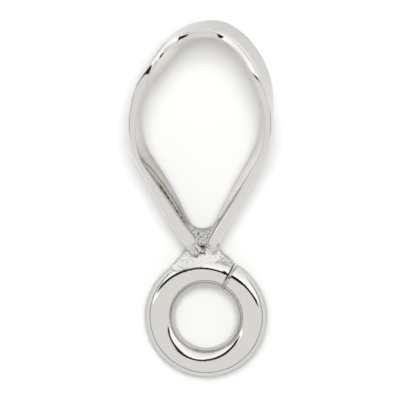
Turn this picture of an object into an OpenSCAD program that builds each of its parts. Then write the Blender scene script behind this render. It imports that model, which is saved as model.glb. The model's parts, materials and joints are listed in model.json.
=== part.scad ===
// Bail finding: a tapered band bent to a teardrop loop, its two legs soldered to a cut jump ring.
// It lies as it rests by itself, on the ring and on the lower edge of the band. +Y runs along the
// finding from the ring to the loop, +Z is up, and the origin is under the middle of its box.

/* [Band] */
// Width of the band over the top of the loop
band_w = 4; // [3.6:0.1:4.2]
// Thickness of the band's edges at the top of the loop
edge_t = 0.32; // [0.3:0.01:0.36]
// How far the inner face swells past the edges at the middle of the band
dome_t = 0.28; // [0.2:0.01:0.32]
// How far the back edge of the arch leans to the right of the front edge
lean = 0.36; // [0:0.02:0.4]
// Radius of the band's long corners
corner_r = 0.08; // [0.06:0.01:0.1]

/* [Jump ring] */
// Outer diameter of the ring
ring_d = 5; // [4.9:0.05:5.1]
// Diameter of the ring's wire
wire_d = 1.2; // [1.15:0.05:1.25]
// Direction of the cut through the wire, turned up from the right
cut_angle = 60; // [56:1:62]
// Width of the cut
cut_gap = 0.06; // [0.04:0.01:0.1]

/* [Solder] */
// Radius of the solder round the ends of the legs
neck_r = 0.5; // [0.46:0.01:0.54]
// Radius of the solder's top edge in the fork of the legs
fork_r = 0.3; // [0.26:0.01:0.34]
// Height of the fork's solder above the ring's centre
fork_h = 3.56; // [3.4:0.02:3.7]
// Radius of the solder's foot along the ring
foot_r = 0.44; // [0.4:0.01:0.48]

/* [Hidden] */

ring_r = (ring_d - wire_d) / 2;
wire_r = wire_d / 2;

// Bends of the band, from the end of the left leg over the top to the end of the right leg.
// x, y: the outer face, from the ring's centre, in mm
// width, edge, dome: shares of band_w, edge_t and dome_t
// lean: share of the lean
X = 0;
Y = 1;
WIDTH = 2;
EDGE = 3;
DOME = 4;
LEAN = 5;
BENDS = [
    [-0.50, 2.26, 0.22, 1.45, 0.30, 0],
    [-0.90, 3.05, 0.30, 1.55, 0.65, 0],
    [-1.37, 3.72, 0.36, 1.50, 0.90, 0],
    [-1.91, 4.65, 0.45, 1.30, 1.38, 0],
    [-2.50, 5.80, 0.58, 0.88, 1.58, 0],
    [-2.975, 6.79, 0.73, 0.82, 1.30, 0],
    [-3.155, 7.88, 0.87, 0.94, 0.92, 0],
    [-3.09, 8.79, 0.96, 1.00, 0.80, 0.12],
    [-2.83, 9.77, 1.00, 1.18, 0.75, 0.45],
    [-2.33, 10.65, 1.00, 0.90, 1.50, 0.85],
    [-1.725, 11.48, 1.00, 1.02, 1.45, 1.25],
    [-0.87, 11.87, 1.00, 0.95, 0.95, 1.00],
    [0.00, 12.00, 1.00, 1.00, 0.85, 0.70],
    [0.70, 11.84, 1.00, 0.97, 0.95, 0.71],
    [1.39, 11.32, 1.00, 0.94, 0.93, 0.80],
    [1.94, 10.55, 1.00, 0.94, 1.18, 0.88],
    [2.36, 9.62, 1.00, 0.97, 1.00, 0.80],
    [2.63, 8.63, 0.96, 0.97, 0.75, 0.30],
    [2.65, 7.67, 0.87, 0.88, 0.90, 0.03],
    [2.46, 6.79, 0.73, 0.90, 0.95, 0],
    [1.955, 5.69, 0.58, 1.05, 1.00, 0],
    [1.40, 4.65, 0.45, 1.03, 1.00, 0],
    [0.91, 3.78, 0.36, 1.15, 0.72, 0],
    [0.51, 3.03, 0.30, 1.25, 0.65, 0],
    [0.20, 2.26, 0.22, 1.25, 0.30, 0]
];
// Sections between one bend and the next
steps = 4;

// Smooth curve through the bends: the row at t, where whole numbers are the bends themselves
function bend(i) = BENDS[max(0, min(len(BENDS) - 1, i))];
function between(a, b, c, d, t) =
    b + t * (c - a) / 2 + t * t * (2 * a - 5 * b + 4 * c - d) / 2 + t * t * t * (3 * b - 3 * c + d - a) / 2;
function row(t) =
    let (i = min(len(BENDS) - 2, floor(t)))
    between(bend(i - 1), bend(i), bend(i + 1), bend(i + 2), t - i);
function way(t) =
    let (end = len(BENDS) - 1, d = row(min(end, t + 0.1)) - row(max(0, t - 0.1)))
    [d[X], d[Y]] / norm([d[X], d[Y]]);

// Half of a section, from the middle of the outer face round the front edge to the middle of the
// inner face: how far in from the outer face, and how far forward as a share of half the width
function half_section(r) =
    let (
        half = r[WIDTH] * band_w / 2,
        edge = r[EDGE] * edge_t,
        dome = r[DOME] * dome_t,
        c = corner_r,
        k = c * (1 - sqrt(0.5))
    )
    [
        [0, 0],
        [0, (half - c) / half],
        [k, (half - k) / half],
        [c, 1],
        [edge - c, 1],
        [edge - k + dome * 0.04, (half - k) / half],
        [edge + dome * 0.19, 0.9],
        [edge + dome * 0.58, 0.65],
        [edge + dome * 0.88, 0.35],
        [edge + dome, 0]
    ];
function section(r) =
    let (front = half_section(r), last = len(front) - 1)
    concat(front, [for (i = [last - 1:-1:1]) [front[i][0], -front[i][1]]]);

// A section's points in space: x, y in the plane of the loop, z across the band
function placed(t) =
    let (r = row(t), w = way(t), half = r[WIDTH] * band_w / 2)
    [
        for (p = section(r))
        [r[X] + p[0] * w[1] + r[LEAN] * lean * (1 - p[1]) / 2, r[Y] - p[0] * w[0], p[1] * half]
    ];
SECTIONS = [for (i = [0:(len(BENDS) - 1) * steps]) placed(i / steps)];
POINTS = [for (s = SECTIONS) each s];
ROUND = len(SECTIONS[0]);

// The rest: the tilt at which the band's lower edge and the ring touch the surface together
function band_low(tilt) = min([for (p = POINTS) p[1] * sin(tilt) + p[2] * cos(tilt)]);
function ring_low(tilt) = -ring_r * sin(tilt) - wire_r;
function rest_tilt(low = 0, high = 20, n = 24) =
    let (mid = (low + high) / 2)
    n == 0 ? mid :
    band_low(mid) < ring_low(mid) ? rest_tilt(mid, high, n - 1) : rest_tilt(low, mid, n - 1);
tilt = rest_tilt();
loop_left = min([for (p = POINTS) p[0]]);
loop_right = max([for (p = POINTS) p[0]]);
loop_top = max([for (p = POINTS) p[1] * cos(tilt) - p[2] * sin(tilt)]);
ring_foot = -ring_r * cos(tilt) - wire_r;

// Tapered band bent to the loop, closed at the end of each leg
module band() {
    last = len(SECTIONS) - 1;
    walls = [
        for (i = [0:last - 1], j = [0:ROUND - 1])
        let (a = i * ROUND + j, b = i * ROUND + (j + 1) % ROUND)
        each [[a, a + ROUND, b], [b, a + ROUND, b + ROUND]]
    ];
    left_end = [for (j = [0:ROUND - 1]) j];
    right_end = [for (j = [ROUND - 1:-1:0]) last * ROUND + j];
    polyhedron(POINTS, concat(walls, [left_end, right_end]));
}

// Round wire bent to a ring and cut through once
module jump_ring() {
    difference() {
        rotate_extrude($fn = 96)
            translate([ring_r, 0])
                circle(r = wire_r, $fn = 48);
        rotate([0, 0, cut_angle])
            translate([ring_r - wire_d, -cut_gap / 2, -wire_d])
                cube([2 * wire_d, cut_gap, 2 * wire_d]);
    }
}

// Solder that fills the fork of the legs and runs out along the ring
module solder() {
    neck_y = ring_r + 0.72;
    fork_y = fork_h - fork_r;
    // x, y, radius
    fork = [[-0.36, neck_y, neck_r], [0.04, neck_y, neck_r], [-0.35, fork_y, fork_r], [0.09, fork_y, fork_r]];
    foot = [[-0.6, ring_r + 0.28, foot_r], [0.42, ring_r + 0.3, foot_r]];
    for (lump = [fork, foot])
        hull()
            for (b = lump)
                translate([b[0], b[1], 0])
                    sphere(r = b[2], $fn = 24);
}

module bail() {
    color("silver")
        translate([-(loop_left + loop_right) / 2, -(loop_top + ring_foot) / 2, -ring_low(tilt)])
            rotate([tilt, 0, 0]) {
                band();
                jump_ring();
                solder();
            }
}

bail();
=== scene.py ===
"""A silver bail finding lying on a pale floor: a tapered band bent to a teardrop loop, soldered to a
cut jump ring. The tables of its shapes are in millimetres, and the finished pieces in metres."""

import json
import math

import bmesh
import bpy
from mathutils import Euler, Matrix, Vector


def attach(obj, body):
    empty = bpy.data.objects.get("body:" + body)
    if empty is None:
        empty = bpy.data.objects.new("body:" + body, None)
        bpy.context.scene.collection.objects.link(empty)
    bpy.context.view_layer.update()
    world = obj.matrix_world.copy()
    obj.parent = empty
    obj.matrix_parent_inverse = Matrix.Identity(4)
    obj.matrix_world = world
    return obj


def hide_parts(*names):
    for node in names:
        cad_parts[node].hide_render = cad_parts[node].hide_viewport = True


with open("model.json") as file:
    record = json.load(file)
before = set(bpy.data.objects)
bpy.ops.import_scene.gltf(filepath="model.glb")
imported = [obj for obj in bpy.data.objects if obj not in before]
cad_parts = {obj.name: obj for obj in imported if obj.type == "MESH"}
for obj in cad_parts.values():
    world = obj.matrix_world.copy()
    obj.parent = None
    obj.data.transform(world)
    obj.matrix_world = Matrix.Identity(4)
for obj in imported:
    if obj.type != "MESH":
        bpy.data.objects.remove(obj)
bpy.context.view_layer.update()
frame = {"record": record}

bl_info = {
    "name": "Bail finding",
    "version": (1, 0, 0),
    "blender": (4, 5, 0),
    "location": "View3D > Sidebar > Bail",
    "description": "Models a silver bail finding and the table it lies on",
    "category": "Add Mesh",
}

# A millimetre, in metres
MM = 0.001

# How the finding lies: the mount in the ring's hole gives the ring's centre, in metres, and the line
# square to the loop's plane, which is tilted about X
RING_HOLE = next(m for m in frame["record"]["mounts"] if m["name"] == "pendant_ring")
RING_CENTRE = Vector(RING_HOLE["pos_m"])
TILT = math.atan2(-RING_HOLE["axis"][1], RING_HOLE["axis"][2])

# The band's bends, from the end of the left leg over the top to the end of the right leg.
# x, y: the outer face, from the ring's centre, in mm
# width, edge, dome: shares of the band's width, edge thickness and dome
# lean: share of the lean
# facet: how much of the front edge is filed down towards the outside, as a share of its thickness
# filed: how deep it is filed there, in mm
BENDS = [
    (-0.50, 2.26, 0.08, 1.45, 0.30, 0.00, 0.50, 0.00),
    (-0.90, 3.05, 0.28, 1.55, 0.65, 0.00, 0.50, 0.00),
    (-1.37, 3.72, 0.36, 1.50, 0.90, 0.00, 0.50, 0.00),
    (-1.91, 4.65, 0.45, 1.30, 1.38, 0.00, 0.50, 0.00),
    (-2.50, 5.80, 0.58, 0.88, 1.58, 0.00, 0.50, 0.00),
    (-2.975, 6.79, 0.73, 0.82, 1.30, 0.00, 0.50, 0.00),
    (-3.155, 7.88, 0.87, 0.94, 0.92, 0.00, 0.50, 0.00),
    (-3.09, 8.79, 0.96, 1.00, 0.80, 0.12, 0.50, 0.00),
    (-2.83, 9.77, 1.00, 1.18, 0.75, 0.45, 0.60, 0.03),
    (-2.33, 10.65, 1.00, 0.90, 1.50, 0.85, 0.95, 0.17),
    (-1.725, 11.48, 1.00, 1.02, 1.45, 1.25, 0.95, 0.21),
    (-0.87, 11.87, 1.00, 0.95, 0.95, 1.00, 0.60, 0.05),
    (0.00, 12.00, 1.00, 1.00, 0.85, 0.70, 0.50, 0.00),
    (0.70, 11.84, 1.00, 0.97, 0.95, 0.71, 0.80, 0.09),
    (1.39, 11.32, 1.00, 0.94, 0.93, 0.80, 0.90, 0.22),
    (1.94, 10.55, 1.00, 0.94, 1.18, 0.88, 0.82, 0.18),
    (2.36, 9.62, 1.00, 0.97, 1.00, 0.80, 0.50, 0.02),
    (2.63, 8.63, 0.96, 0.97, 0.75, 0.30, 0.50, 0.00),
    (2.65, 7.67, 0.87, 0.88, 0.90, 0.03, 0.50, 0.00),
    (2.46, 6.79, 0.73, 0.90, 0.95, 0.00, 0.50, 0.00),
    (1.955, 5.69, 0.58, 1.05, 1.00, 0.00, 0.50, 0.00),
    (1.40, 4.65, 0.45, 1.03, 1.00, 0.00, 0.50, 0.00),
    (0.91, 3.78, 0.36, 1.15, 0.72, 0.00, 0.50, 0.00),
    (0.51, 3.03, 0.28, 1.25, 0.65, 0.00, 0.50, 0.00),
    (0.20, 2.26, 0.08, 1.25, 0.30, 0.00, 0.50, 0.00),
]
X, Y, WIDTH, EDGE, DOME, LEAN, FACET, FILED = range(8)
# Stations from one bend to the next
STEPS = 5
# A lean below this share is none
LEAST_LEAN = 0.001

# Points of the band's section: how far in, as a share of the edge and of the dome, and how far
# across, as a share of half the width. The flat outer face comes first, then the back edge, the
# domed inner face and the front edge.
SECTION = [
    (0, 0, 1),
    (0, 0, 0.5),
    (0, 0, 0),
    (0, 0, -0.5),
    (0, 0, -1),
    (0.2, 0, -1),
    (0.5, 0, -1),
    (1, 0, -1),
    (1, 0.44, -0.75),
    (1, 0.75, -0.5),
    (1, 0.94, -0.25),
    (1, 1, 0),
    (1, 0.94, 0.25),
    (1, 0.75, 0.5),
    (1, 0.44, 0.75),
    (1, 0, 1),
    (0.5, 0, 1),
    (0.2, 0, 1),
]
# The points that the chamfers along the outer corners and the filed facet move
FRONT_FACE, BACK_FACE, BACK_SIDE, FRONT_MIDDLE, FRONT_SIDE = 0, 4, 5, 16, 17
OUTER_CORNERS = (FRONT_FACE, BACK_FACE, BACK_SIDE, FRONT_SIDE)
INNER_CORNERS = (7, 15)
# Width of the chamfers, as a share of their depth
CHAMFER_WIDTH = 0.88
# How crisp the chamfers' edges stay as the band is smoothed
CHAMFER_CREASE = 0.6


def cut_corners(row, sizes):
    """Where the section's points at the chamfers and the filed facet lie: how far in, how far across."""
    half, edge = row[WIDTH] * sizes.width / 2, row[EDGE] * sizes.edge
    filed = max(0.0, row[FILED])
    face = row[FACET] * edge
    deep = sizes.corner
    wide = deep * CHAMFER_WIDTH
    return {
        FRONT_FACE: (0, half - filed - wide),
        BACK_FACE: (0, wide - half),
        BACK_SIDE: (deep, -half),
        FRONT_MIDDLE: (face, half),
        FRONT_SIDE: (deep, half - filed * (1 - deep / face)),
    }


class BandSizes(bpy.types.PropertyGroup):
    """Sizes of the band, in millimetres"""

    width: bpy.props.FloatProperty(
        name="Width", description="Width of the band over the top of the loop", default=4.0, min=3.6, max=4.2
    )
    edge: bpy.props.FloatProperty(
        name="Edge", description="Thickness of the band's edges at the top", default=0.32, min=0.3, max=0.36
    )
    dome: bpy.props.FloatProperty(
        name="Dome",
        description="How far the inner face swells past the edges",
        default=0.28,
        min=0.2,
        max=0.32,
    )
    lean: bpy.props.FloatProperty(
        name="Lean",
        description="How far the back edge leans right of the front one",
        default=0.36,
        min=0,
        max=0.4,
    )
    corner: bpy.props.FloatProperty(
        name="Corners",
        description="Depth of the chamfers on the outer corners",
        default=0.075,
        min=0.04,
        max=0.1,
    )
    inner_corner: bpy.props.FloatProperty(
        name="Inner corners", description="Radius of the long inner corners", default=0.07, min=0.04, max=0.1
    )


class RingSizes(bpy.types.PropertyGroup):
    """Sizes of the jump ring, in millimetres, and how its cut and its roll are turned"""

    diameter: bpy.props.FloatProperty(
        name="Diameter", description="Outer diameter of the jump ring", default=5.0, min=4.9, max=5.1
    )
    wire: bpy.props.FloatProperty(
        name="Wire", description="Diameter of the ring's wire", default=1.2, min=1.15, max=1.25
    )
    cut_at: bpy.props.FloatProperty(
        name="Cut at",
        description="Direction of the cut, turned up from the right",
        default=math.radians(60),
        unit="ROTATION",
    )
    cut_gap: bpy.props.FloatProperty(
        name="Cut gap", description="Width of the cut", default=0.06, min=0.04, max=0.1
    )
    lip: bpy.props.FloatProperty(
        name="Lip", description="Length of the pinched lips at the cut", default=0.035, min=0.02, max=0.12
    )
    roll: bpy.props.FloatProperty(
        name="Roll",
        description="How far the soldered ring rolls out of the loop's plane",
        default=math.radians(-5),
        unit="ROTATION",
    )


class SilverFinish(bpy.types.PropertyGroup):
    """The polished silver"""

    colour: bpy.props.FloatVectorProperty(
        name="Silver",
        description="Colour of the polished silver",
        subtype="COLOR",
        size=3,
        default=(0.68, 0.665, 0.632),
    )
    roughness: bpy.props.FloatProperty(
        name="Roughness",
        description="Roughness of the polish where it is clear of haze",
        default=0.05,
        min=0,
        max=1,
    )
    edge_tint: bpy.props.FloatProperty(
        name="Edge tint",
        description="Brightness of the silver seen at a low angle",
        default=0.64,
        min=0,
        max=1,
    )


class StageSettings(bpy.types.PropertyGroup):
    """The camera and the light"""

    camera_height: bpy.props.FloatProperty(
        name="Camera height",
        description="Height of the camera above the top of the ring's wire",
        default=0.25,
        unit="LENGTH",
    )
    view_width: bpy.props.FloatProperty(
        name="View width", description="Width of the picture at the finding", default=0.01633, unit="LENGTH"
    )
    room: bpy.props.FloatProperty(
        name="Room light", description="Brightness of the pale room around", default=1.0, min=0
    )
    above: bpy.props.FloatProperty(
        name="Light from above", description="Strength of the soft light from above", default=1.86, min=0
    )
    around: bpy.props.FloatProperty(
        name="Light from around", description="Strength of the even light on the table", default=1.53, min=0
    )
    softbox: bpy.props.FloatProperty(
        name="Softbox", description="Brightness of the large softbox", default=1.6, min=0
    )
    side_card: bpy.props.FloatProperty(
        name="Side card", description="Brightness of the small card on the left", default=1.6, min=0
    )


# Working by hand, in edit mode


def deselect():
    """Leaves edit mode, and selects nothing."""
    if bpy.context.mode != "OBJECT":
        bpy.ops.object.mode_set(mode="OBJECT")
    bpy.ops.object.select_all(action="DESELECT")


def only(piece):
    """Selects this piece alone, and makes it the active one."""
    deselect()
    piece.select_set(True)
    bpy.context.view_layer.objects.active = piece


def edit(piece):
    """Opens the piece in edit mode, to work on its vertices, with none of them selected."""
    only(piece)
    bpy.ops.object.mode_set(mode="EDIT")
    bpy.ops.mesh.select_mode(type="VERT")
    bpy.ops.mesh.select_all(action="DESELECT")


def pick(piece, wanted, kind="verts"):
    """Selects the vertices, edges or faces for which wanted(element) holds, and says how many."""
    mesh = bmesh.from_edit_mesh(piece.data)
    for group in (mesh.verts, mesh.edges, mesh.faces):
        for element in group:
            element.select = False
    found = 0
    for element in getattr(mesh, kind):
        if wanted(element):
            element.select_set(True)
            found += 1
    mesh.select_flush_mode()
    bmesh.update_edit_mesh(piece.data, loop_triangles=False, destructive=False)
    return found


def pick_numbers(piece, numbers):
    """Selects the vertices with these numbers."""
    bpy.ops.mesh.select_all(action="DESELECT")
    mesh = bmesh.from_edit_mesh(piece.data)
    mesh.verts.ensure_lookup_table()
    for n in numbers:
        mesh.verts[n].select_set(True)
    mesh.select_flush_mode()
    bmesh.update_edit_mesh(piece.data, loop_triangles=False, destructive=False)


def move(step):
    """Moves what is selected by a step."""
    bpy.ops.transform.translate(value=step, orient_type="GLOBAL")


def place(piece, number, target):
    """Moves one vertex to a place."""
    pick_numbers(piece, [number])
    move(Vector(target) - bmesh.from_edit_mesh(piece.data).verts[number].co)


def turn(angle, axis, centre):
    """Turns what is selected anticlockwise about an axis. With no window the tool turns the other way."""
    bpy.ops.transform.rotate(value=-angle, orient_axis=axis, orient_type="GLOBAL", center_override=centre)


def widen(factors, centre):
    """Scales what is selected along X, Y and Z, from a centre."""
    bpy.ops.transform.resize(value=factors, orient_type="GLOBAL", center_override=centre)


def runs_along(edge, corners):
    """Holds for an edge that runs along the band through one of these points of its section."""
    total = len(SECTION)
    first, second = (v.index for v in edge.verts)
    return first % total in corners and second % total in corners and abs(first - second) == total


def is_end(face, centre):
    """Holds for the round face that closes the wire at this place."""
    return len(face.verts) > 4 and (face.calc_center_median() - centre).length < 0.01


def name_piece(name):
    """Names the active object, and applies its place and turn to its mesh."""
    piece = bpy.context.active_object
    piece.name = name
    piece.data.name = name
    only(piece)
    bpy.ops.object.transform_apply(location=True, rotation=True, scale=True)
    return piece


def face_outward(piece):
    """Turns all the piece's faces outwards."""
    edit(piece)
    bpy.ops.mesh.select_all(action="SELECT")
    bpy.ops.mesh.normals_make_consistent(inside=False)
    bpy.ops.object.mode_set(mode="OBJECT")


def apply_modifiers(piece):
    """Applies the piece's modifiers, the first one first."""
    only(piece)
    for name in [m.name for m in piece.modifiers]:
        bpy.ops.object.modifier_apply(modifier=name)


def lay_down(piece, roll=0.0, lift=0.0):
    """Brings a piece from the loop's own plane, in mm, to where the finding lies, in metres."""
    only(piece)
    piece.rotation_euler = (TILT, roll, 0)
    piece.scale = (MM, MM, MM)
    piece.location = RING_CENTRE + Vector((0, 0, lift * MM))
    bpy.ops.object.transform_apply(location=True, rotation=True, scale=True)


def dress(piece, material):
    """Gives the piece its finish, and lets it stand for the plain solid on the frame."""
    piece.data.materials.clear()
    piece.data.materials.append(material)
    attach(piece, "root")
    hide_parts("bail")


# The band's line


def even_curve(values):
    """Handles of a cubic B-spline that passes through the values."""
    n = len(values)
    handles = list(values)
    lower = [0.0] * n
    rest = [0.0] * n
    rest[0] = values[0]
    for i in range(1, n - 1):
        share = 4.0 - lower[i - 1]
        lower[i] = 1.0 / share
        rest[i] = (6.0 * values[i] - rest[i - 1]) / share
    for i in range(n - 2, 0, -1):
        handles[i] = rest[i] - lower[i] * handles[i + 1]
    return handles


def stations():
    """Rows of the band at every step: the table's columns, and the angle of the line."""
    columns = [even_curve([row[c] for row in BENDS]) for c in range(len(BENDS[0]))]
    last = len(BENDS) - 1
    made = []
    for k in range(last * STEPS + 1):
        i = min(last - 1, k // STEPS)
        t = k / STEPS - i
        # how much each of the four handles around this place counts, in the line and in its slope
        weights = ((1 - t) ** 3, 3 * t**3 - 6 * t**2 + 4, -3 * t**3 + 3 * t**2 + 3 * t + 1, t**3)
        slopes = (-3 * (1 - t) ** 2, 9 * t**2 - 12 * t, -9 * t**2 + 6 * t + 3, 3 * t**2)
        row = []
        slope = []
        for c in columns:
            before = 2 * c[0] - c[1]
            after = 2 * c[last] - c[last - 1]
            points = [before if j < 0 else after if j > last else c[j] for j in range(i - 1, i + 3)]
            row.append(sum(w * p for w, p in zip(weights, points)) / 6)
            slope.append(sum(w * p for w, p in zip(slopes, points)) / 6)
        made.append((row, math.atan2(-slope[X], slope[Y])))
    return made


def start_section(row, sizes):
    """The section at the end of the left leg: a flat disc whose points are pulled into place."""
    deselect()
    bpy.ops.mesh.primitive_circle_add(
        vertices=len(SECTION), radius=1, fill_type="NGON", location=(0, 0, 0), rotation=(math.pi / 2, 0, 0)
    )
    band = name_piece("band")
    half, edge, dome = row[WIDTH] * sizes.width / 2, row[EDGE] * sizes.edge, row[DOME] * sizes.dome
    edit(band)
    for n, (e, d, across) in enumerate(SECTION):
        place(band, n, (e * edge + d * dome, 0, across * half))
    for n, (deep, across) in cut_corners(row, sizes).items():
        place(band, n, (deep, 0, across))
    return band


def draw_out(band, rows, sizes):
    """Draws the section out, station by station, into a straight tapered strip, and says where the
    stations lie along it."""
    inner = [n for n, point in enumerate(SECTION) if point[0] == 1]
    total = len(SECTION)
    places = [0.0]
    bpy.ops.mesh.select_all(action="SELECT")
    for k in range(1, len(rows)):
        old, new = rows[k - 1][0], rows[k][0]
        step = math.dist(old[:2], new[:2])
        along = places[-1] + step
        places.append(along)
        bpy.ops.mesh.extrude_region_move(TRANSFORM_OT_translate={"value": (0, step, 0)})
        widen((1, 1, new[WIDTH] / old[WIDTH]), (0, along, 0))
        start = total * k
        pick_numbers(band, [start + n for n in inner])
        move(((new[EDGE] - old[EDGE]) * sizes.edge, 0, 0))
        widen((new[DOME] / old[DOME], 1, 1), (new[EDGE] * sizes.edge, along, 0))
        for n, (deep, across) in cut_corners(new, sizes).items():
            place(band, start + n, (deep, along, across))
        pick_numbers(band, [start + n for n in range(total)])
    return places


def finish_corners(band, sizes):
    """Keeps the outer chamfers crisp, and rounds the inner corners."""
    bpy.ops.mesh.select_mode(type="EDGE")
    pick(band, lambda e: runs_along(e, OUTER_CORNERS), "edges")
    bpy.ops.transform.edge_crease(value=CHAMFER_CREASE)
    pick(band, lambda e: runs_along(e, INNER_CORNERS), "edges")
    bpy.ops.mesh.bevel(
        offset=sizes.inner_corner, segments=3, profile=0.5, affect="EDGES", offset_type="OFFSET"
    )


def bend_to_loop(band, rows, places, sizes):
    """Bends the strip to the loop, one station after another, with the arch's lean."""
    bpy.ops.mesh.select_mode(type="VERT")
    mesh = bmesh.from_edit_mesh(band.data)
    stops = [[] for _ in rows]
    for v in mesh.verts:
        near = min(range(len(places)), key=lambda k: abs(places[k] - v.co.y))
        stops[near].append(v.index)
    for (row, angle), along, numbers in zip(rows, places, stops):
        pick_numbers(band, numbers)
        move((row[X], row[Y] - along, 0))
        turn(angle, "Z", (row[X], row[Y], 0))
        if row[LEAN] > LEAST_LEAN:
            half = row[WIDTH] * sizes.width / 2
            lean = math.asin(row[LEAN] * sizes.lean / (2 * half))
            turn(-lean, "Y", (row[X], row[Y], half))


class BAIL_OT_band(bpy.types.Operator):
    """A flat tapered strip with a domed inner face, drawn out, finished along its corners and bent"""

    bl_idname = "bail.band"
    bl_label = "Band"

    def execute(self, context):
        sizes = context.scene.bail_band
        rows = stations()
        band = start_section(rows[0][0], sizes)
        places = draw_out(band, rows, sizes)
        finish_corners(band, sizes)
        bend_to_loop(band, rows, places, sizes)
        face_outward(band)
        smooth = band.modifiers.new("Smooth", "SUBSURF")
        smooth.levels = smooth.render_levels = 2
        apply_modifiers(band)
        bpy.ops.object.shade_smooth()
        lay_down(band)
        finish = polished("Polished silver")
        painted_bright_walls(finish)
        left_wall_painted_shade(finish)
        file_marks(finish)
        dress(band, finish)
        return {"FINISHED"}


# The ring

WIRE_SIDES = 64
RING_STEPS = 180
# How far the wire closes in over a lip, as a share of the lip's length
PINCH = 0.5
# Edges of the ring that turn by less than this look smooth
SMOOTH_BELOW = math.radians(15)


def draw_lip(ring, end, radius, way, sizes):
    """Draws the wire's end at this angle out into a pinched lip."""
    centre = Vector((math.cos(end), math.sin(end), 0)) * radius
    lip = Vector((-math.sin(end), math.cos(end), 0)) * way * sizes.lip
    if pick(ring, lambda f: is_end(f, centre), "faces") != 1:
        raise RuntimeError("the ring has no end at its cut")
    bpy.ops.mesh.extrude_region_move(TRANSFORM_OT_translate={"value": lip})
    pinch = 1 - PINCH * sizes.lip / (sizes.wire / 2)
    widen((pinch, pinch, pinch), centre + lip)


class BAIL_OT_ring(bpy.types.Operator):
    """Round wire spun to a ring, stopping short of itself so that a thin cut stays open"""

    bl_idname = "bail.ring"
    bl_label = "Jump ring"

    def execute(self, context):
        sizes = context.scene.bail_ring
        wire = sizes.wire / 2
        radius = sizes.diameter / 2 - wire
        short = (sizes.cut_gap / 2 + sizes.lip) / radius
        start = sizes.cut_at + short
        stop = sizes.cut_at - short + math.tau
        deselect()
        bpy.ops.mesh.primitive_circle_add(
            vertices=WIRE_SIDES,
            radius=wire,
            fill_type="NGON",
            location=(radius, 0, 0),
            rotation=(math.pi / 2, 0, 0),
        )
        ring = name_piece("jump_ring")
        edit(ring)
        bpy.ops.mesh.select_all(action="SELECT")
        turn(start, "Z", (0, 0, 0))
        bpy.ops.mesh.spin(steps=RING_STEPS, angle=start - stop, center=(0, 0, 0), axis=(0, 0, 1))
        bpy.ops.mesh.select_all(action="SELECT")
        bpy.ops.mesh.normals_make_consistent(inside=False)
        bpy.ops.mesh.select_mode(type="FACE")
        draw_lip(ring, start, radius, -1, sizes)
        draw_lip(ring, stop, radius, 1, sizes)
        face_outward(ring)
        only(ring)
        bpy.ops.object.shade_smooth_by_angle(angle=SMOOTH_BELOW)

        # the roll sinks one side of the ring, so it is lifted by as much
        tipped = math.hypot(TILT, sizes.roll)
        lay_down(ring, sizes.roll, radius * (math.sin(tipped) - math.sin(TILT)))
        finish = polished("Ring silver")
        sawn_cut_and_shade(finish, sizes)
        dress(ring, finish)
        return {"FINISHED"}


# The solder

# Outlines of the solder in the loop's plane: the part that runs out along the ring, and the part
# that fills the fork, with the crevice between the ends of the legs
FOOT = [
    (-0.66, 3.70),
    (-0.20, 3.50),
    (0.00, 3.50),
    (0.34, 3.72),
    (0.58, 3.50),
    (0.50, 3.10),
    (0.53, 2.92),
    (0.57, 2.78),
    (0.65, 2.65),
    (0.78, 2.53),
    (0.94, 2.42),
    (1.12, 2.27),
    (1.02, 2.00),
    (0.50, 2.05),
    (0.00, 2.10),
    (-0.50, 2.05),
    (-1.25, 1.85),
    (-1.47, 2.02),
    (-1.28, 2.24),
    (-1.10, 2.42),
    (-0.98, 2.58),
    (-0.90, 2.74),
    (-0.85, 2.90),
    (-0.88, 3.06),
    (-1.05, 3.38),
    (-1.12, 3.62),
]
FORK = [
    (-0.90, 4.10),
    (-0.76, 3.92),
    (-0.58, 3.74),
    (-0.38, 3.63),
    (-0.14, 3.59),
    (0.10, 3.63),
    (0.28, 3.75),
    (0.42, 3.96),
    (0.52, 4.16),
    (0.64, 3.70),
    (0.50, 3.20),
    (0.48, 2.92),
    (0.48, 2.78),
    (0.24, 2.74),
    (0.09, 2.84),
    (0.02, 2.96),
    (-0.12, 3.00),
    (-0.24, 2.94),
    (-0.42, 3.08),
    (-0.47, 2.98),
    (-0.36, 2.86),
    (-0.45, 2.74),
    (-0.76, 2.78),
    (-0.80, 2.86),
    (-0.84, 3.04),
    (-1.03, 3.36),
    (-1.18, 3.68),
]
# Half of the thickness of the foot and of the fork, in mm
FOOT_HALF = 0.49
FORK_HALF = 0.5
# The foot's top is turned by this angle about this line, so that it falls away from the ring
FOOT_SLOPE = math.radians(27)
SLOPE_LINE = 2.35
# The tips of the foot lie this far from its middle, and are this much thinner on both faces
TIPS = 0.9
TIPS_THINNER = 0.25
# Beads frozen on its front and back: x, y, z, radius
BEADS = [
    (-0.40, 2.70, 0.46, 0.12),
    (0.16, 3.42, 0.42, 0.14),
    (-0.12, 3.24, -0.50, 0.16),
    (0.10, 3.46, -0.46, 0.14),
]
# Fineness of the fused solder, how often it is smoothed, and the size and height of its lumps, in mm
VOXEL = 0.022
SMOOTHINGS = 14
LUMP_SIZE = 0.16
LUMP_HEIGHT = 0.03


def lump(points, half):
    """A slab with this outline, left in edit mode with its top face selected."""
    deselect()
    bpy.ops.mesh.primitive_circle_add(vertices=len(points), radius=1, fill_type="NGON", location=(0, 0, 0))
    body = bpy.context.active_object
    edit(body)
    for n, (x, y) in enumerate(points):
        place(body, n, (x, y, -half))
    bpy.ops.mesh.select_all(action="SELECT")
    bpy.ops.mesh.extrude_region_move(TRANSFORM_OT_translate={"value": (0, 0, 2 * half)})
    return body


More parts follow.
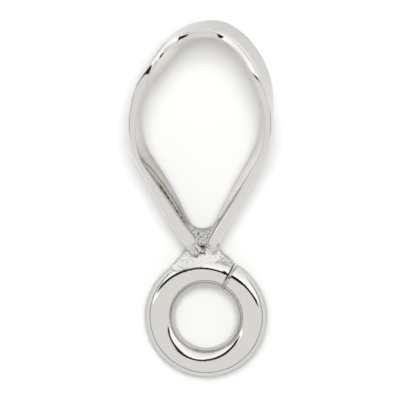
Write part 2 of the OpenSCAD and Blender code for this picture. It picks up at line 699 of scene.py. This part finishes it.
def slope_foot(foot):
    """Turns the foot's top face down toward the fork, and thins its tips from above and below."""
    turn(-FOOT_SLOPE, "X", (0, SLOPE_LINE, FOOT_HALF))
    pick(foot, lambda v: v.co.z > 0 and abs(v.co.x) > TIPS)
    move((0, 0, -TIPS_THINNER))
    pick(foot, lambda v: v.co.z < -0.9 * FOOT_HALF and abs(v.co.x) > TIPS)
    move((0, 0, TIPS_THINNER))


def fuse(solder):
    """Melts the lumps and beads into one, smooths it and lets it freeze unevenly."""
    melt = solder.modifiers.new("Melt", "REMESH")
    melt.mode = "VOXEL"
    melt.voxel_size = VOXEL
    relax = solder.modifiers.new("Relax", "SMOOTH")
    relax.factor = 0.5
    relax.iterations = SMOOTHINGS
    grain = bpy.data.textures.new("Frozen lumps", "CLOUDS")
    grain.noise_scale = LUMP_SIZE
    grain.noise_depth = 2
    lumps = solder.modifiers.new("Lumps", "DISPLACE")
    lumps.texture = grain
    lumps.texture_coords = "LOCAL"
    lumps.strength = LUMP_HEIGHT
    lumps.mid_level = 0.5
    apply_modifiers(solder)


class BAIL_OT_solder(bpy.types.Operator):
    """The lump of solder that fills the fork of the legs and runs out along the ring"""

    bl_idname = "bail.solder"
    bl_label = "Solder"

    def execute(self, context):
        foot = lump(FOOT, FOOT_HALF)
        slope_foot(foot)
        face_outward(foot)
        fork = lump(FORK, FORK_HALF)
        face_outward(fork)
        bodies = [foot, fork]
        for x, y, z, r in BEADS:
            deselect()
            bpy.ops.mesh.primitive_uv_sphere_add(segments=24, ring_count=12, radius=r, location=(x, y, z))
            bodies.append(context.active_object)
        deselect()
        for body in bodies:
            body.select_set(True)
        context.view_layer.objects.active = foot
        bpy.ops.object.join()
        solder = name_piece("solder")
        fuse(solder)
        face_outward(solder)
        only(solder)
        bpy.ops.object.shade_smooth()
        lay_down(solder)
        dress(solder, soldered("Soldered silver"))
        return {"FINISHED"}


# Finishes

# How much brighter the band's walls are painted than its edges: painted light, for the brighter reflections
# that the walls show
WALL_PAINTED_LIGHT = 1.3
# How far up or down a flat edge faces, from where it begins to count as one
EDGE_FACING = (0.55, 0.8)
# How much rougher the polish is where it is most hazy
HAZE = 0.07
# Brightness of the solder, and of the painted shade in its pits, as a share of the polished silver's
SOLDER_TONE = 0.92
PIT_SHADE_TONE = 0.2
# Brightness of the other dark places, as a share of the silver's around them
# The painted shade on the left leg's inner face
LEFT_WALL_SHADE_TONE = 0.6
MARK_TONE = 0.12
# The painted shade in the cut, with the dark of its saw-cut face, and the nick
CUT_MARKS_AND_SHADE_TONE = 0.05
LINE_TONE = 0.5
# The painted shade in the crevice between the legs' ends
CREVICE_SHADE_TONE = 0.1

# Where the dark places lie, in mm. A range has soft edges: it gives where the place begins, where it is
# full, where it is still full and where it ends.
RIGHT = Vector((1, 0, 0))
UP = Vector((0, 1, 0))
# Square to the inner corner of the left leg
ACROSS_LEFT_LEG = Vector((0.827, 0.562, 0))
MARKS_ACROSS = (-1.13, -1.10, -1.07, -1.04)
MARKS_UP = (-1.15, -0.95, 0.50, 0.60)
# The painted shade on the left leg's inner face fades out over these, to the right and upwards
LEFT_WALL_SHADE_RIGHT_END = (-0.4, 0)
LEFT_WALL_SHADE_UP_END = (1.6, 2.6)
# Beside the middle of the cut, and out from the ring's centre
NICK_ACROSS = (0.15, 0.17, 0.24, 0.36)
NICK_OUT = (1.98, 2.00, 2.11, 2.14)
# The cut's painted shade, with the dark of its saw-cut face, grows over this, out from the ring's centre
SAWN_FACE_AND_SHADE_DARKENS = (1.7, 1.9)
CREVICE_RIGHT = (-0.20, -0.08, 0.10, 0.26)
CREVICE_UP = (-2.36, -2.26, -1.96, -1.84)
PITS_RIGHT = (-0.42, -0.26, 0.32, 0.50)
PITS_UP_START = (-2.2, -2.0)


def add_noise(material, cells, detail, stretch=(1, 1, 1)):
    """Noise in the piece's own coordinates, with this many cells to the metre, stretched along its axes."""
    nodes, links = material.node_tree.nodes, material.node_tree.links
    place_on = nodes.new("ShaderNodeTexCoord")
    shape = nodes.new("ShaderNodeMapping")
    shape.inputs["Scale"].default_value = stretch
    noise = nodes.new("ShaderNodeTexNoise")
    noise.inputs["Scale"].default_value = cells
    noise.inputs["Detail"].default_value = detail
    links.new(place_on.outputs["Object"], shape.inputs["Vector"])
    links.new(shape.outputs["Vector"], noise.inputs["Vector"])
    return noise.outputs["Fac"]


def own_place(material, direction):
    """How far along a direction a point lies, in the piece's own coordinates, in mm."""
    nodes, links = material.node_tree.nodes, material.node_tree.links
    place_on = nodes.new("ShaderNodeTexCoord")
    along = nodes.new("ShaderNodeVectorMath")
    along.operation = "DOT_PRODUCT"
    along.inputs[1].default_value = direction / MM
    links.new(place_on.outputs["Object"], along.inputs[0])
    return along.outputs["Value"]


def own_facing(material, axis):
    """How much the surface faces along X, Y or Z."""
    nodes, links = material.node_tree.nodes, material.node_tree.links
    surface = nodes.new("ShaderNodeNewGeometry")
    split = nodes.new("ShaderNodeSeparateXYZ")
    links.new(surface.outputs["Normal"], split.inputs["Vector"])
    return split.outputs[axis]


def spread_out(material, value, low, high, start=0.3, end=0.7):
    """Spreads what a value does from start to end over the range from low to high."""
    nodes, links = material.node_tree.nodes, material.node_tree.links
    spread = nodes.new("ShaderNodeMapRange")
    spread.inputs["From Min"].default_value = start
    spread.inputs["From Max"].default_value = end
    spread.inputs["To Min"].default_value = low
    spread.inputs["To Max"].default_value = high
    links.new(value, spread.inputs["Value"])
    return spread.outputs["Result"]


def rises(material, value, start, end):
    """A share that grows from 0 to 1 while the value goes from start to end."""
    return spread_out(material, value, 0, 1, start, end)


def falls(material, value, start, end):
    """A share that drops from 1 to 0 while the value goes from start to end."""
    return spread_out(material, value, 1, 0, start, end)


def times(material, first, *others):
    """All these shares together."""
    nodes, links = material.node_tree.nodes, material.node_tree.links
    for other in others:
        product = nodes.new("ShaderNodeMath")
        product.operation = "MULTIPLY"
        links.new(first, product.inputs[0])
        links.new(other, product.inputs[1])
        first = product.outputs["Value"]
    return first


def within(material, value, limits, origin=0.0):
    """A share that is 1 inside a range with soft edges, counted from an origin."""
    begins, full, still_full, ends = (origin + limit for limit in limits)
    return times(material, rises(material, value, begins, full), falls(material, value, still_full, ends))


def darken(material, share, tone):
    """Darkens the silver where the share is 1, down to this part of its brightness."""
    nodes, links = material.node_tree.nodes, material.node_tree.links
    before = nodes["Principled BSDF"].inputs["Base Color"]
    mixed = nodes.new("ShaderNodeMix")
    mixed.data_type = "RGBA"
    mixed.blend_type = "MULTIPLY"
    mixed.inputs["A"].default_value = before.default_value
    mixed.inputs["B"].default_value = (tone, tone, tone, 1)
    if before.is_linked:
        links.new(before.links[0].from_socket, mixed.inputs["A"])
    links.new(share, mixed.inputs["Factor"])
    links.new(mixed.outputs["Result"], before)


def bump(material, height, depth, under=None, share=None):
    """A relief of this depth in metres, on top of another one, and only by this share of its strength."""
    nodes, links = material.node_tree.nodes, material.node_tree.links
    relief = nodes.new("ShaderNodeBump")
    relief.inputs["Strength"].default_value = 1.0
    relief.inputs["Distance"].default_value = depth
    links.new(height, relief.inputs["Height"])
    if under:
        links.new(under, relief.inputs["Normal"])
    if share:
        links.new(share, relief.inputs["Strength"])
    return relief.outputs["Normal"]


def bare_silver(name):
    """Plain silver in the panel's colour, and its shader."""
    settings = bpy.context.scene.bail_silver
    made = bpy.data.materials.new(name)
    made.use_nodes = True
    shader = made.node_tree.nodes["Principled BSDF"]
    shader.inputs["Metallic"].default_value = 1.0
    shader.inputs["Base Color"].default_value = (*settings.colour, 1)
    shader.inputs["Specular Tint"].default_value = (settings.edge_tint,) * 3 + (1,)
    return made, shader


def polished(name):
    """Silver polished by hand: soft waves, a faint haze and hairline scratches along it and across it."""
    made, shader = bare_silver(name)
    links = made.node_tree.links
    clear = bpy.context.scene.bail_silver.roughness
    haze = add_noise(made, cells=1400, detail=5)
    links.new(spread_out(made, haze, clear, clear + HAZE), shader.inputs["Roughness"])
    waves = add_noise(made, cells=1500, detail=1)
    along = add_noise(made, cells=9000, detail=4, stretch=(1, 0.12, 1))
    across = add_noise(made, cells=26000, detail=2, stretch=(0.1, 1, 1))
    relief = bump(made, waves, 0.006 * MM)
    relief = bump(made, along, 0.0004 * MM, relief)
    relief = bump(made, across, 0.0002 * MM, relief)
    links.new(relief, shader.inputs["Normal"])
    return made


def painted_bright_walls(material):
    """Paints light on the band's long inner and outer faces, brighter than its flat front and back edges: it
    stands in for the brighter reflections that the walls show.
    """
    nodes, links = material.node_tree.nodes, material.node_tree.links
    base = nodes["Principled BSDF"].inputs["Base Color"]
    # Painted light: the whole band is made brighter, and its flat edges are darkened back
    base.default_value = [min(1, c * WALL_PAINTED_LIGHT) for c in base.default_value]
    level = nodes.new("ShaderNodeMath")
    level.operation = "ABSOLUTE"
    links.new(own_facing(material, "Z"), level.inputs[0])
    darken(material, rises(material, level.outputs["Value"], *EDGE_FACING), 1 / WALL_PAINTED_LIGHT)


def left_wall_painted_shade(material):
    """Paints shade on the left leg's inner face, where it faces right: it stands in for the darker
    reflection that this face shows.
    """
    painted_shade = times(
        material,
        rises(material, own_facing(material, "X"), 0.3, 0.6),
        falls(material, own_place(material, RIGHT), *LEFT_WALL_SHADE_RIGHT_END),
        spread_out(material, add_noise(material, cells=1800, detail=3), 0.75, 1),
        falls(material, own_place(material, UP), *LEFT_WALL_SHADE_UP_END),
    )
    darken(material, painted_shade, LEFT_WALL_SHADE_TONE)


def file_marks(material):
    """Short dark marks of the file along the inner corner of the left leg."""
    marks = times(
        material,
        within(material, own_place(material, ACROSS_LEFT_LEG), MARKS_ACROSS),
        within(material, own_place(material, UP), MARKS_UP),
        rises(material, add_noise(material, cells=5500, detail=4), 0.5, 0.53),
    )
    darken(material, marks, MARK_TONE)


def along_ring(material, angle, roll):
    """How far in this direction of the ring's plane a point lies, and how far the ring's centre does."""
    direction = Vector((math.cos(angle), math.sin(angle), 0))
    direction.rotate(Euler((TILT, roll, 0)))
    return own_place(material, direction), direction.dot(RING_CENTRE) / MM


def sawn_cut_and_shade(material, sizes):
    """The cut's left face and lip are darkened: painted shade in the narrow cut, with the dark of the
    saw-cut face. A dark nick lies beside it, and its right lip has a fine grey line."""
    across, middle = along_ring(material, sizes.cut_at + math.pi / 2, sizes.roll)
    out, centre = along_ring(material, sizes.cut_at, sizes.roll)
    half, lip = sizes.cut_gap / 2, sizes.lip
    this_side = rises(material, out, centre, centre + 0.5)
    sawn_face_and_shade = times(
        material,
        this_side,
        within(material, across, (0, half * 0.8, half + lip * 1.5, half + lip * 1.8), middle),
        spread_out(material, out, 0.25, 1, *(centre + end for end in SAWN_FACE_AND_SHADE_DARKENS)),
    )
    # Painted shade in the narrow cut, on the dark saw-cut face
    darken(material, sawn_face_and_shade, CUT_MARKS_AND_SHADE_TONE)
    nick = times(
        material,
        this_side,
        within(material, across, NICK_ACROSS, middle),
        within(material, out, NICK_OUT, centre),
    )
    darken(material, nick, CUT_MARKS_AND_SHADE_TONE)
    grey_line = within(material, across, (-0.04, -0.02, 0, 0.01), middle - half - lip)
    darken(material, times(material, this_side, grey_line), LINE_TONE)


def soldered(name):
    """Silver solder as it froze: finely grained, pitted in the fork of the legs with painted shade in the
    pits, and darkened by painted shade in the crevice between their ends."""
    made, shader = bare_silver(name)
    links = made.node_tree.links
    base = shader.inputs["Base Color"]
    base.default_value = [c * SOLDER_TONE for c in base.default_value[:3]] + [1]
    right, up = own_place(made, RIGHT), own_place(made, UP)
    pits = add_noise(made, cells=15000, detail=3)
    links.new(spread_out(made, pits, 0.34, 0.10, 0.35, 0.6), shader.inputs["Roughness"])
    fork = times(made, within(made, right, PITS_RIGHT), rises(made, up, *PITS_UP_START))
    # Painted shade in the hollows of the pits
    darken(made, times(made, falls(made, pits, 0.38, 0.46), fork), PIT_SHADE_TONE / SOLDER_TONE)
    # Painted shade in the crevice between the legs' ends
    crevice = times(
        made,
        within(made, right, CREVICE_RIGHT),
        within(made, up, CREVICE_UP),
        falls(made, add_noise(made, cells=7000, detail=2), 0.5, 0.56),
    )
    darken(made, crevice, CREVICE_SHADE_TONE)
    relief = bump(made, pits, 0.04 * MM, share=fork)
    grains = add_noise(made, cells=18000, detail=3)
    links.new(bump(made, grains, 0.008 * MM, relief, fork), shader.inputs["Normal"])
    return made


# The stage


def plain(name, colour, light=0.0):
    """A matt colour, or a light of that colour."""
    made = bpy.data.materials.new(name)
    made.use_nodes = True
    shader = made.node_tree.nodes["Principled BSDF"]
    shader.inputs["Base Color"].default_value = (*colour, 1)
    shader.inputs["Roughness"].default_value = 0.6
    shader.inputs["Specular IOR Level"].default_value = 0.2
    if light:
        shader.inputs["Base Color"].default_value = (0, 0, 0, 1)
        shader.inputs["Emission Color"].default_value = (*colour, 1)
        shader.inputs["Emission Strength"].default_value = light
    return made


def fade(material, near, far):
    """Lets a card's light fade across it, from its near edge to its far edge."""
    nodes, links = material.node_tree.nodes, material.node_tree.links
    place_on = nodes.new("ShaderNodeUVMap")
    split = nodes.new("ShaderNodeSeparateXYZ")
    spread = nodes.new("ShaderNodeMapRange")
    spread.inputs["To Min"].default_value = near
    spread.inputs["To Max"].default_value = far
    links.new(place_on.outputs["UV"], split.inputs["Vector"])
    links.new(split.outputs["Y"], spread.inputs["Value"])
    links.new(spread.outputs["Result"], nodes["Principled BSDF"].inputs["Emission Strength"])


def toward(right, up, reach):
    """A point that lies this many degrees right, and toward the loop's top, from straight up."""
    angle = math.hypot(right, up)
    lean = math.sin(math.radians(angle)) / angle
    return Vector((right * lean, up * lean, math.cos(math.radians(angle)))) * reach


def only_mirrored(piece, name, material):
    """Adds a piece of the stage that shows in the silver, but not to the camera, nor as a shadow."""
    piece.name = name
    piece.data.materials.append(material)
    piece.visible_camera = False
    piece.visible_shadow = False
    piece.visible_diffuse = False


def curtain(name, low, high, material, reach):
    """A bent card between two lines of directions, at this distance from the finding in metres."""
    deselect()
    bpy.ops.mesh.primitive_grid_add(x_subdivisions=len(low) - 1, y_subdivisions=12, size=1)
    made = bpy.context.active_object
    for v in made.data.vertices:
        column = round((v.co.x + 0.5) * (len(low) - 1))
        share = v.co.y + 0.5
        right = low[column][0] * (1 - share) + high[column][0] * share
        up = low[column][1] * (1 - share) + high[column][1] * share
        v.co = toward(right, up, reach)
    only_mirrored(made, name, material)


# The near edge of the softbox as the silver shows it: degrees right of straight up, degrees toward
# the loop's top, and half of its thickness
RAIL = [
    (-66, 20, 8.5),
    (-50, 25, 9.0),
    (-38, 27, 8.5),
    (-25, 25.5, 8.0),
    (-14, 21, 8.0),
    (-5, 14, 8.0),
    (0, 10.5, 7.5),
    (8, 12, 7.5),
    (16, 14.5, 7.0),
    (24, 14.5, 6.5),
    (34, 12, 6.0),
    (46, 8, 5.5),
    (60, 5, 5.0),
]
# Where the softbox's near edge ends, past the rail, and where its far edge lies, in degrees
SOFTBOX_END = (70, 12)
SOFTBOX_FAR = 74
# How far right or left the far edge's directions are, as a share of the near edge's
SOFTBOX_NARROWS = 0.9
# The two edges of the small card on the left, in degrees
SIDE_CARD_NEAR = [(-76, 4), (-52, 4)]
SIDE_CARD_FAR = [(-76, 18), (-52, 20)]
# The floor's width, and the radius and height of the skirt round it, in metres
FLOOR_WIDTH = 3
SKIRT_RADIUS = 1.4
SKIRT_HEIGHT = 0.22
# The point that the camera stands over, in metres
CAMERA_OVER = (-0.034 * MM, -0.06 * MM)
# Width of the camera's sensor, in mm
SENSOR_WIDTH = 36


def add_floor():
    """The pale table that the finding lies on."""
    deselect()
    bpy.ops.mesh.primitive_plane_add(size=FLOOR_WIDTH, location=(0, 0, 0))
    floor = bpy.context.active_object
    floor.name = "floor"
    floor.data.materials.append(plain("Pale table", (0.95, 0.95, 0.95)))


def add_cards(settings):
    """The big softbox, the dark rail along its near edge, and a small card on the left."""
    white = plain("Softbox", (1, 1, 1), settings.softbox)
    fade(white, settings.softbox, settings.room)
    near = [(right, up) for right, up, half in RAIL] + [SOFTBOX_END]
    far = [(right * SOFTBOX_NARROWS, SOFTBOX_FAR) for right, up in near]
    curtain("softbox", near, far, white, reach=1.2)
    below = [(right, up - half) for right, up, half in RAIL]
    above = [(right, up + half) for right, up, half in RAIL]
    curtain("rail", below, above, plain("Dark rail", (0.01, 0.01, 0.01)), reach=1.0)
    side = plain("Side card", (1, 1, 1), settings.side_card)
    curtain("side_card", SIDE_CARD_NEAR, SIDE_CARD_FAR, side, reach=1.1)


def add_skirt():
    """A low grey wall round the table, which the silver mirrors."""
    deselect()
    bpy.ops.mesh.primitive_cylinder_add(
        vertices=96,
        radius=SKIRT_RADIUS,
        depth=SKIRT_HEIGHT,
        end_fill_type="NOTHING",
        location=(0, 0, SKIRT_HEIGHT / 2),
    )
    only_mirrored(bpy.context.active_object, "skirt", plain("Dark skirt", (0.5, 0.5, 0.5)))


def add_light(name, strength, spread, lean):
    """A soft light from above, this many degrees wide and leaning, that the silver doesn't mirror."""
    deselect()
    bpy.ops.object.light_add(type="SUN", location=(0, 0.1, 0.5), rotation=(-math.radians(lean), 0, 0))
    light = bpy.context.active_object
    light.name = name
    light.data.energy = strength
    light.data.angle = math.radians(spread)
    light.visible_glossy = False


def light_room(scene, strength):
    """A white room that shows in the silver, and doesn't light the table."""
    world = bpy.data.worlds.new("Room")
    world.use_nodes = True
    background = world.node_tree.nodes["Background"]
    background.inputs["Color"].default_value = (1, 1, 1, 1)
    background.inputs["Strength"].default_value = strength
    world.cycles_visibility.diffuse = False
    scene.world = world
    scene.view_settings.view_transform = "Standard"


def add_camera(scene, settings):
    """The camera looks straight down from above the top of the ring's wire."""
    deselect()
    wire_top = RING_CENTRE.z + scene.bail_ring.wire / 2 * MM
    location = (*CAMERA_OVER, wire_top + settings.camera_height)
    bpy.ops.object.camera_add(location=location, rotation=(0, 0, 0))
    camera = bpy.context.active_object
    camera.name = "camera"
    camera.data.sensor_width = SENSOR_WIDTH
    camera.data.lens = SENSOR_WIDTH * settings.camera_height / settings.view_width
    camera.data.clip_start = 0.01
    camera.data.clip_end = 10
    scene.camera = camera


class BAIL_OT_stage(bpy.types.Operator):
    """A pale table in a white room, a softbox beyond the loop's top, and the camera"""

    bl_idname = "bail.stage"
    bl_label = "Stage"

    def execute(self, context):
        settings = context.scene.bail_stage
        add_floor()
        add_cards(settings)
        add_skirt()
        add_light("above", settings.above, spread=24, lean=6)
        add_light("around", settings.around, spread=170, lean=0)
        light_room(context.scene, settings.room)
        add_camera(context.scene, settings)
        return {"FINISHED"}


class BAIL_PT_panel(bpy.types.Panel):
    """The settings, and a button for each step"""

    bl_label = "Bail finding"
    bl_idname = "BAIL_PT_panel"
    bl_space_type = "VIEW_3D"
    bl_region_type = "UI"
    bl_category = "Bail"

    def draw(self, context):
        for group in GROUPS:
            box = self.layout.box()
            values = getattr(context.scene, group)
            for name in values.bl_rna.properties.keys():
                if name not in ("rna_type", "name"):
                    box.prop(values, name)
        for operator in OPERATORS:
            self.layout.operator(operator.bl_idname)


GROUPS = {
    "bail_band": BandSizes,
    "bail_ring": RingSizes,
    "bail_silver": SilverFinish,
    "bail_stage": StageSettings,
}
OPERATORS = (BAIL_OT_band, BAIL_OT_ring, BAIL_OT_solder, BAIL_OT_stage)
CLASSES = (*GROUPS.values(), *OPERATORS, BAIL_PT_panel)


def register():
    for made in CLASSES:
        bpy.utils.register_class(made)
    for name, group in GROUPS.items():
        setattr(bpy.types.Scene, name, bpy.props.PointerProperty(type=group))


def unregister():
    for name in GROUPS:
        delattr(bpy.types.Scene, name)
    for made in reversed(CLASSES):
        bpy.utils.unregister_class(made)


def main():
    register()
    bpy.ops.bail.band()
    bpy.ops.bail.ring()
    bpy.ops.bail.solder()
    bpy.ops.bail.stage()


if __name__ == "__main__":
    main()
